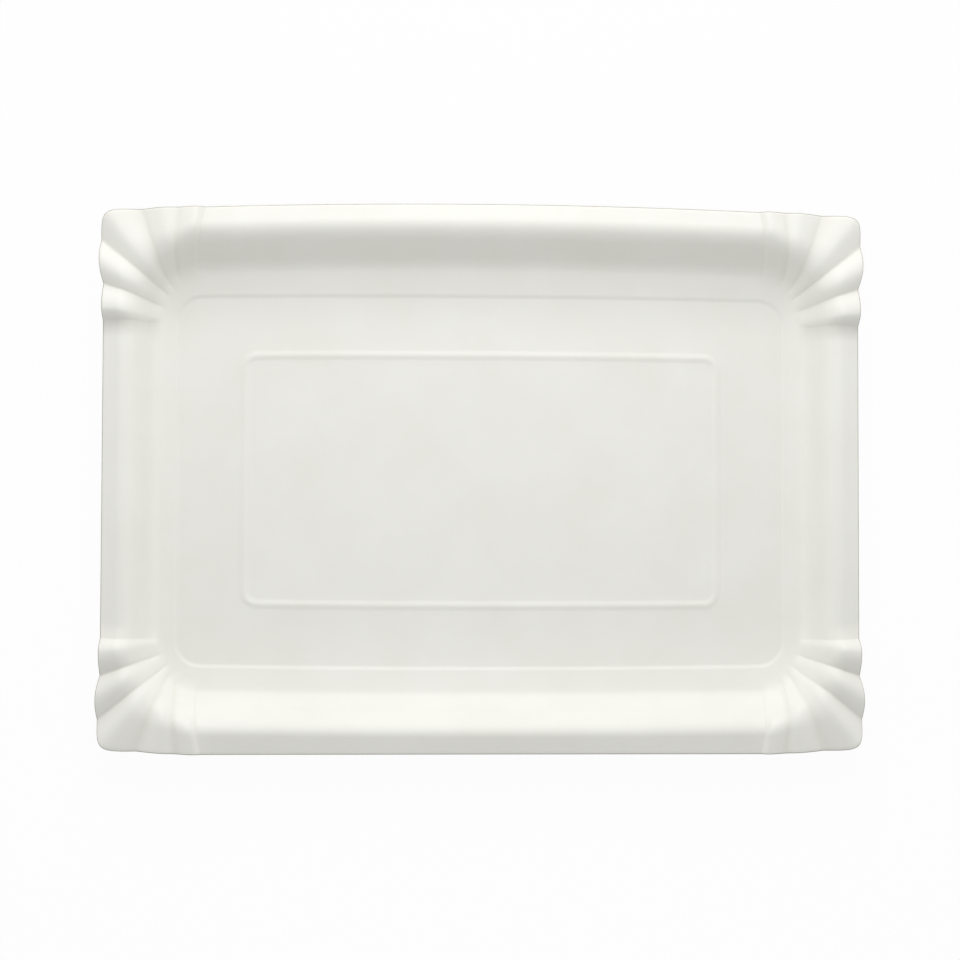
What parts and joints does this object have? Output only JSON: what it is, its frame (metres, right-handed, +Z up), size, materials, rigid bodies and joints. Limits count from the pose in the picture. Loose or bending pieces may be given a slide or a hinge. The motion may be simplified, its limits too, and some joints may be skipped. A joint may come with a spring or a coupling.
{
  "type": "rectangular takeaway tray",
  "caption": "Shallow rectangular tray pressed from white coated board, with a curled rim, fluted corners and a raised bead round the middle of its base.",
  "frame": {"origin": "under the middle of the overall outline, on the plane that the base rests on", "axes": "+X along the long sides, +Y across to the back long side, +Z up out of the well"},
  "size_m": [0.2298, 0.1656, 0.0164],
  "materials": {
    "coated_board": "white coated board, matt to satin"
  },
  "bodies": {
    "root": {"tray": "coated_board"}
  },
  "joints": []
}
